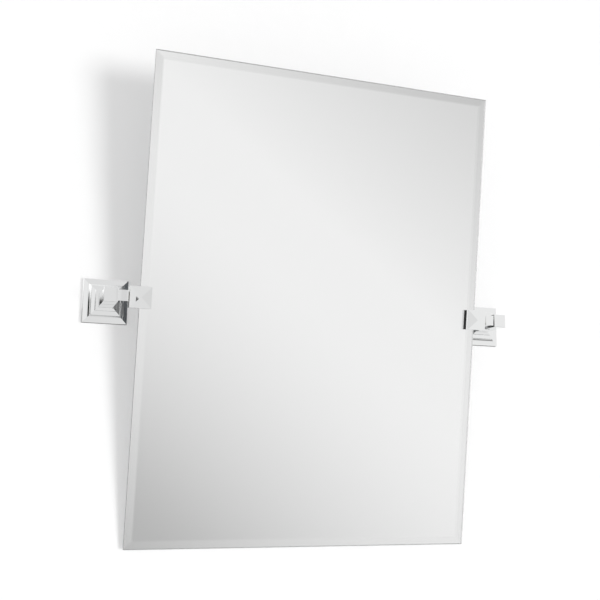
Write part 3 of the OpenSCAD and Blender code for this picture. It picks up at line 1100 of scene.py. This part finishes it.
def stage_material(studio):
    """A pale matt surface that only shows its front, so that the object can be seen from behind it."""
    plain = {"Roughness": 0.9, "Specular IOR Level": 0.1}
    material, tree, shader = new_material("Studio surface", plain)
    mottle = 0.005
    grain = place_group(tree, "Grain", grain_group, Grain_Scale=400.0, Mottle_Scale=3.0)
    dark = [c * (1 - mottle) for c in studio.wall]
    feed(shader, {"Base Color": blend_colour(tree, grain["Mask"], dark, studio.wall)})
    path = add_node(tree, "ShaderNodeLightPath").outputs
    behind = add_node(tree, "ShaderNodeNewGeometry").outputs["Backfacing"]
    # what metal sees of the wall, with painted shadow: dark behind the glass, below the arms and just
    # below the plates, bright past the plates
    where = split(tree, add_node(tree, "ShaderNodeTexCoord").outputs["Object"])
    aside = calc(tree, "ABSOLUTE", where[0])
    painted_shadow_under_arm = remap(tree, where[2], -14 * MM, -8 * MM, 0.0, 1.0)
    painted_shadow_under_plate = remap(tree, where[2], PLATE_LOW.z - 4 * MM, PLATE_LOW.z - MM, 0.5, 0.05)
    painted_shadow_below = calc(tree, "MAXIMUM", painted_shadow_under_arm, painted_shadow_under_plate)
    past_plate = remap(tree, aside, PLATE_HIGH.x, PLATE_HIGH.x + MM, 0.0, 1.0)
    painted_shadow_behind_glass = remap(tree, aside, SILVER_HIGH.x, SILVER_HIGH.x + 20 * MM, 0.2, 1.0)
    shaded = calc(tree, "MULTIPLY", painted_shadow_below, painted_shadow_behind_glass)
    wall_in_metal_with_painted_shade = calc(tree, "MAXIMUM", shaded, past_plate)
    seen = calc(tree, "MAXIMUM", path["Is Camera Ray"], path["Is Transmission Ray"])
    in_metal = calc(tree, "SUBTRACT", path["Is Glossy Ray"], path["Is Transmission Ray"], clamp=True)
    away = calc(tree, "MAXIMUM", behind, path["Is Shadow Ray"])
    glow = calc(tree, "MULTIPLY", seen, studio.wall_glow)
    result = shader.outputs[0]
    for kind, inputs, share in (
        ("ShaderNodeEmission", {"Color": WHITE}, glow),
        # painted shadow: glossy rays see the wall at the darkened level worked out above
        ("ShaderNodeEmission", {"Color": WHITE, "Strength": wall_in_metal_with_painted_shade}, in_metal),
        ("ShaderNodeBsdfTransparent", {}, away),
    ):
        other = output(tree, kind, inputs)
        result = output(tree, "ShaderNodeMixShader", {0: share, 1: result, 2: other})
    feed(tree.get_output_node("ALL"), {"Surface": result})
    return material


def stage_plane(name, corners, material):
    """A flat stage surface from its four corners, anticlockwise seen from its front."""
    mesh = bpy.data.meshes.new(name)
    mesh.from_pydata(corners, [], [(0, 1, 2, 3)])
    obj = new_object(name, mesh, material)
    return obj


def sun(name, power, side, height, spread):
    """A distant lamp, side to the right of straight ahead and height above level.

    Glass and metal don't show it.
    """
    lamp = bpy.data.lights.new(name, "SUN")
    lamp.energy = power
    lamp.angle = spread
    obj = bpy.data.objects.new(name, lamp)
    level = math.cos(height)
    towards = Vector((math.sin(side) * level, -math.cos(side) * level, math.sin(height)))
    obj.rotation_mode = "QUATERNION"
    obj.rotation_quaternion = towards.to_track_quat("Z", "Y")
    obj.visible_glossy = False
    obj.visible_transmission = False
    bpy.context.scene.collection.objects.link(obj)


# What polished metal sees of the studio: patches between two bearings to the right of straight ahead and
# two heights above level, in degrees, with the softness of their edges and their level. Each patch lies
# over the ones before it.
STUDIO_CARDS = (
    ((26, 100), (-90, 90), 5, 0.87),
    ((28, 36), (-8, -3), 1, 0.72),
    ((-24, -17), (-90, 90), 3, 0.86),
    ((-70, -34), (-90, 70), 1, 0.03),
    ((-88, -70), (-90, 70), 2, 1.0),
    ((-112, -88), (-90, 70), 3, 0.25),
    ((-180, -112), (-90, 90), 3, 1.0),
    ((-112, -24), (5, 9.55), 0.25, 0.03),
    ((-112, -25), (10.05, 70), 0.35, 1.4),
    ((-15.43, -15.2), (-7.62, -6.86), 0.04, 0.0),
    ((-15.24, -15.04), (-7.16, -6.98), 0.04, 0.0),
    ((-15.17, -14.93), (-7.4, -7.24), 0.04, 0.1),
    ((-180, 180), (-95, -40), 4, 0.72),
    ((20, 150), (-68, -33), 1.5, 0.25),
    ((7.36, 8.1), (9.2, 10.5), 0.04, 0.705),
)
STUDIO_LEVEL = 0.77
BACKDROP_LEVEL = 0.95


def patch_mask(tree, aside, above, side, height, soft):
    """1 inside a patch of the surroundings, 0 outside, with soft edges."""
    mask = 1.0
    for value, (low, high) in ((aside, side), (above, height)):
        for edge, before, after in ((low, 0, 1), (high, 1, 0)):
            if abs(edge) < 180:
                step = remap(tree, value, edge - soft, edge + soft, before, after, smooth=True)
                mask = calc(tree, "MULTIPLY", mask, step)
    return mask


def degrees_of(tree, operation, *values):
    """An angle in degrees, from a Math node that gives radians."""
    return calc(tree, "MULTIPLY", calc(tree, operation, *values), math.degrees(1))


def bearings(tree, towards):
    """A direction as degrees to the right of straight ahead and degrees above level."""
    place = split(tree, towards)
    ahead = calc(tree, "MULTIPLY", place[1], -1.0)
    return degrees_of(tree, "ARCTAN2", place[0], ahead), degrees_of(tree, "ARCSINE", place[2])


def room_in_metal(tree, bearing, height):
    """Level that polished metal reflects from a direction."""
    level = STUDIO_LEVEL
    for side, rise, soft, card in STUDIO_CARDS:
        level = blend(tree, patch_mask(tree, bearing, height, side, rise, soft), level, card)
    return level


def room_in_glass(tree, towards, bearing, height, peak):
    """Level that the mirror reflects: brightest along a slanting band, falling off on both sides."""
    across, half = (0.5728, 0.148, 0.8061), 2.2  # square to the band, and half its width in degrees
    over_rate, under_rate, under_power = 0.0215, 0.0052, 1.6
    most, ease = 0.5, 0.16  # how far the level can fall, and how softly it stops there
    inputs = {0: towards, 1: across}
    dot = add_node(tree, "ShaderNodeVectorMath", inputs, operation="DOT_PRODUCT").outputs["Value"]
    off_band = degrees_of(tree, "ARCSINE", dot)
    over = calc(tree, "MAXIMUM", calc(tree, "SUBTRACT", off_band, half), 0.0)
    under = calc(tree, "MAXIMUM", calc(tree, "SUBTRACT", -half, off_band), 0.0)
    # it falls off less and less towards the left
    lit = remap(tree, bearing, -16, 7.5, 0, 1, smooth=True)
    fall = calc(tree, "MULTIPLY", calc(tree, "POWER", under, under_power), under_rate)
    drop = calc(tree, "MULTIPLY", calc(tree, "MULTIPLY_ADD", over, over_rate, fall), lit)
    share = calc(tree, "SUBTRACT", 1.0, calc(tree, "SMOOTH_MIN", drop, most, ease))
    # higher up, where only the top bevel looks, it is lighter to the left and darker to the right
    darkest, lightest = -0.1, 0.15
    ahead, per_degree = 0.229, -0.0092
    lift = calc(tree, "MULTIPLY_ADD", bearing, per_degree, ahead)
    lift = calc(tree, "MAXIMUM", calc(tree, "MINIMUM", lift, lightest), darkest)
    high = remap(tree, height, 9, 13, 0, 1, smooth=True)
    share = calc(tree, "MULTIPLY", share, calc(tree, "MULTIPLY_ADD", high, lift, 1.0))
    return calc(tree, "MULTIPLY", share, peak)


def studio_world(studio):
    """The surroundings: even fill, a pale backdrop, and what glass and metal reflect of the room."""
    world = bpy.data.worlds.new("Studio")
    bpy.context.scene.world = world
    world.use_nodes = True
    tree = world.node_tree
    tree.nodes.clear()
    towards = add_node(tree, "ShaderNodeTexCoord").outputs["Generated"]
    bearing, height = bearings(tree, towards)
    path = add_node(tree, "ShaderNodeLightPath").outputs
    metal_level = room_in_metal(tree, bearing, height)
    glass_level = room_in_glass(tree, towards, bearing, height, studio.room_in_glass)
    level = blend(tree, path["Is Glossy Ray"], studio.fill, metal_level)
    level = blend(tree, path["Is Transmission Ray"], level, glass_level)
    level = blend(tree, path["Is Camera Ray"], level, BACKDROP_LEVEL)
    background = output(tree, "ShaderNodeBackground", {"Color": WHITE, "Strength": level})
    add_node(tree, "ShaderNodeOutputWorld", {"Surface": background})
    world.cycles.sampling_method = "NONE"


def make_camera(studio):
    """The camera at the photograph's viewing angle."""
    data = bpy.data.cameras.new("Camera")
    data.sensor_width = 36
    data.lens = studio.camera_lens
    data.clip_start = 0.01
    data.clip_end = 50
    camera = bpy.data.objects.new("Camera", data)
    camera.matrix_world = (
        Matrix.Translation(studio.camera_place)
        @ Matrix.Rotation(-studio.camera_pan, 4, "Z")
        @ Matrix.Rotation(math.pi / 2 + studio.camera_pitch, 4, "X")
        @ Matrix.Rotation(-studio.camera_roll, 4, "Z")
    )
    bpy.context.scene.collection.objects.link(camera)
    bpy.context.scene.camera = camera


class MIRROR_OT_studio(bpy.types.Operator):
    """Set up the wall, the floor, the light and the camera"""

    bl_idname = "mirror.studio"
    bl_label = "Studio"

    def execute(self, context):
        studio = context.scene.mirror_studio
        pale = stage_material(studio)
        left, right, low, top = -6.0, 6.0, -1.35, 2.5
        near, back = -12.0, 0.2 * MM  # the wall stands a hair behind the plates
        wall = [(left, back, low), (right, back, low), (right, back, top), (left, back, top)]
        ground = [(left, near, low), (right, near, low), (right, back, low), (left, back, low)]
        stage_plane("studio_wall", wall, pale)
        floor = stage_plane("studio_floor", ground, pale)
        floor.visible_glossy = False
        floor.visible_transmission = False
        sun("Key light", studio.key_power, studio.key_side, studio.key_height, studio.key_spread)
        rear_side, rear_height, rear_spread = (math.radians(a) for a in (200, 25, 40))
        sun("Rear light", studio.rear_power, rear_side, rear_height, rear_spread)
        studio_world(studio)
        make_camera(studio)
        context.scene.view_settings.view_transform = "Standard"
        return {"FINISHED"}


# ---- add-on ----


OPERATORS = (
    MIRROR_OT_glass,
    MIRROR_OT_wall_plates,
    MIRROR_OT_arms,
    MIRROR_OT_clamps,
    MIRROR_OT_fixings,
    MIRROR_OT_studio,
)
GROUPS = {
    "mirror_moulding": MirrorMoulding,
    "mirror_fittings": MirrorFittings,
    "mirror_finishes": MirrorFinishes,
    "mirror_studio": MirrorStudio,
}


class MIRROR_PT_panel(bpy.types.Panel):
    """Lists the steps that build the mirror and their sizes"""

    bl_idname = "MIRROR_PT_panel"
    bl_label = "Pivot wall mirror"
    bl_space_type = "VIEW_3D"
    bl_region_type = "UI"
    bl_category = "Mirror"

    def draw(self, context):
        for operator in OPERATORS:
            self.layout.operator(operator.bl_idname)
        for name, group in GROUPS.items():
            box = self.layout.box()
            for key in group.__annotations__:
                box.prop(getattr(context.scene, name), key)


def register():
    """Registers the classes and their properties."""
    for group in GROUPS.values():
        bpy.utils.register_class(group)
    for operator in OPERATORS:
        bpy.utils.register_class(operator)
    bpy.utils.register_class(MIRROR_PT_panel)
    for name, group in GROUPS.items():
        setattr(bpy.types.Scene, name, PointerProperty(type=group))


def unregister():
    """Takes the classes and their properties away again."""
    for name in GROUPS:
        delattr(bpy.types.Scene, name)
    bpy.utils.unregister_class(MIRROR_PT_panel)
    for operator in reversed(OPERATORS):
        bpy.utils.unregister_class(operator)
    for group in reversed(GROUPS.values()):
        bpy.utils.unregister_class(group)


def main():
    """Builds the whole scene in order."""
    register()
    bpy.ops.mirror.glass()
    bpy.ops.mirror.wall_plates()
    bpy.ops.mirror.arms()
    bpy.ops.mirror.clamps()
    bpy.ops.mirror.fixings()
    bpy.ops.mirror.studio()


if __name__ == "__main__":
    main()
